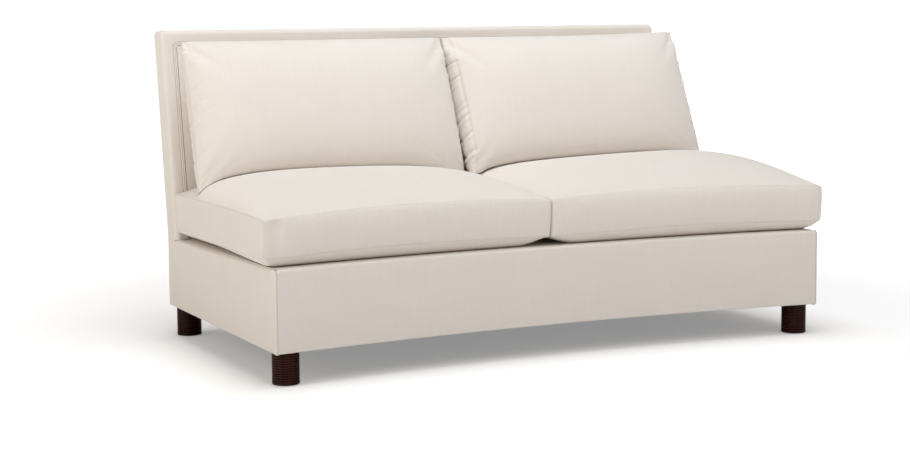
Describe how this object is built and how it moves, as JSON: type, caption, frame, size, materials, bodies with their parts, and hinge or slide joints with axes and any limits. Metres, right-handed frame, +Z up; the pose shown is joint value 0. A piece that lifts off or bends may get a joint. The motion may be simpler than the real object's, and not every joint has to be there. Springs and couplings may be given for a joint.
{
  "type": "armless sofa",
  "caption": "Armless sofa with a concave front, loose seat and back cushions, a raked back with a padded border and double welt, and short ribbed turned legs.",
  "frame": {"origin": "on the floor, under the middle of the sofa's length and depth", "axes": "+X along the sofa, to the right of a person facing its front; +Y from the front to the back; +Z up"},
  "size_m": [1.7392, 0.9997, 0.903],
  "materials": {
    "linen": "cream plain-weave linen with a fine slub, matte",
    "leg_wood": "turned hardwood, dark brown stain, satin",
    "frame_wood": "kiln-dried softwood and laminated board, unfinished",
    "foam": "upholstery foam",
    "fibre": "polyester fibre filling",
    "felt": "grey insulator felt",
    "webbing": "woven elastic webbing",
    "dust_cloth": "black non-woven dust cloth",
    "steel": "zinc-plated steel",
    "glide_nylon": "dark nylon glide",
    "zip_tape": "woven zip tape and nylon coil, cream",
    "zip_metal": "nickel-plated slider and pull"
  },
  "bodies": {
    "sofa_frame": {"back_border_left": "linen", "back_border_right": "linen", "back_border_top": "linen", "back_centre_post": "frame_wood", "back_cross_webbing": "webbing", "back_foam": "foam", "back_post_left": "frame_wood", "back_post_right": "frame_wood", "back_tack_rail": "frame_wood", "back_top_rail": "frame_wood", "back_webbing": "webbing", "base_stretchers": "frame_wood", "corner_blocks": "frame_wood", "deck_cover": "linen", "deck_foam": "foam", "double_welt": "linen", "dust_cover": "dust_cloth", "front_cover": "linen", "front_rail": "frame_wood", "inside_back_cover": "linen", "insulator": "felt", "leg_bolts": "steel", "leg_front_left": "leg_wood", "leg_front_right": "leg_wood", "leg_glides": "glide_nylon", "leg_rear_left": "leg_wood", "leg_rear_right": "leg_wood", "outside_back_cover": "linen", "rear_rail": "frame_wood", "seat_cross_webbing": "webbing", "seat_webbing": "webbing", "side_cover_left": "linen", "side_cover_right": "linen", "side_rail_left": "frame_wood", "side_rail_right": "frame_wood", "welt_batten": "frame_wood"},
    "seat_cushion_left": {"seat_cushion_cover_left": "linen", "seat_cushion_wrap_left": "fibre", "seat_cushion_core_left": "foam", "seat_cushion_zip_left": "zip_tape"},
    "back_cushion_left": {"back_cushion_cover_left": "linen", "back_cushion_fill_left": "fibre", "back_cushion_zip_left": "zip_tape"},
    "seat_zip_slider_left": {"seat_cushion_zip_slider_left": "zip_metal"},
    "back_zip_slider_left": {"back_cushion_zip_slider_left": "zip_metal"},
    "seat_cushion_right": {"seat_cushion_cover_right": "linen", "seat_cushion_wrap_right": "fibre", "seat_cushion_core_right": "foam", "seat_cushion_zip_right": "zip_tape"},
    "back_cushion_right": {"back_cushion_cover_right": "linen", "back_cushion_fill_right": "fibre", "back_cushion_zip_right": "zip_tape"},
    "seat_zip_slider_right": {"seat_cushion_zip_slider_right": "zip_metal"},
    "back_zip_slider_right": {"back_cushion_zip_slider_right": "zip_metal"}
  },
  "joints": [
    {"name": "seat_cushion_left_slide", "type": "slide", "parent": "sofa_frame", "child": "seat_cushion_left", "axis": [0, -0.9999, 0.017], "range_m": [0, 0.6]},
    {"name": "back_cushion_left_lift", "type": "slide", "parent": "sofa_frame", "child": "back_cushion_left", "axis": [0, 0.1615, 0.9869], "range_m": [0, 0.42]},
    {"name": "seat_zip_left", "type": "slide", "parent": "seat_cushion_left", "child": "seat_zip_slider_left", "axis": [-1, 0, 0], "range_m": [0, 0.58]},
    {"name": "back_zip_left", "type": "slide", "parent": "back_cushion_left", "child": "back_zip_slider_left", "axis": [-1, 0, 0], "range_m": [0, 0.38]},
    {"name": "seat_cushion_right_slide", "type": "slide", "parent": "sofa_frame", "child": "seat_cushion_right", "axis": [0, -0.9999, 0.017], "range_m": [0, 0.6]},
    {"name": "back_cushion_right_lift", "type": "slide", "parent": "sofa_frame", "child": "back_cushion_right", "axis": [0, 0.1615, 0.9869], "range_m": [0, 0.42]},
    {"name": "seat_zip_right", "type": "slide", "parent": "seat_cushion_right", "child": "seat_zip_slider_right", "axis": [1, 0, 0], "range_m": [0, 0.58]},
    {"name": "back_zip_right", "type": "slide", "parent": "back_cushion_right", "child": "back_zip_slider_right", "axis": [1, 0, 0], "range_m": [0, 0.38]}
  ]
}
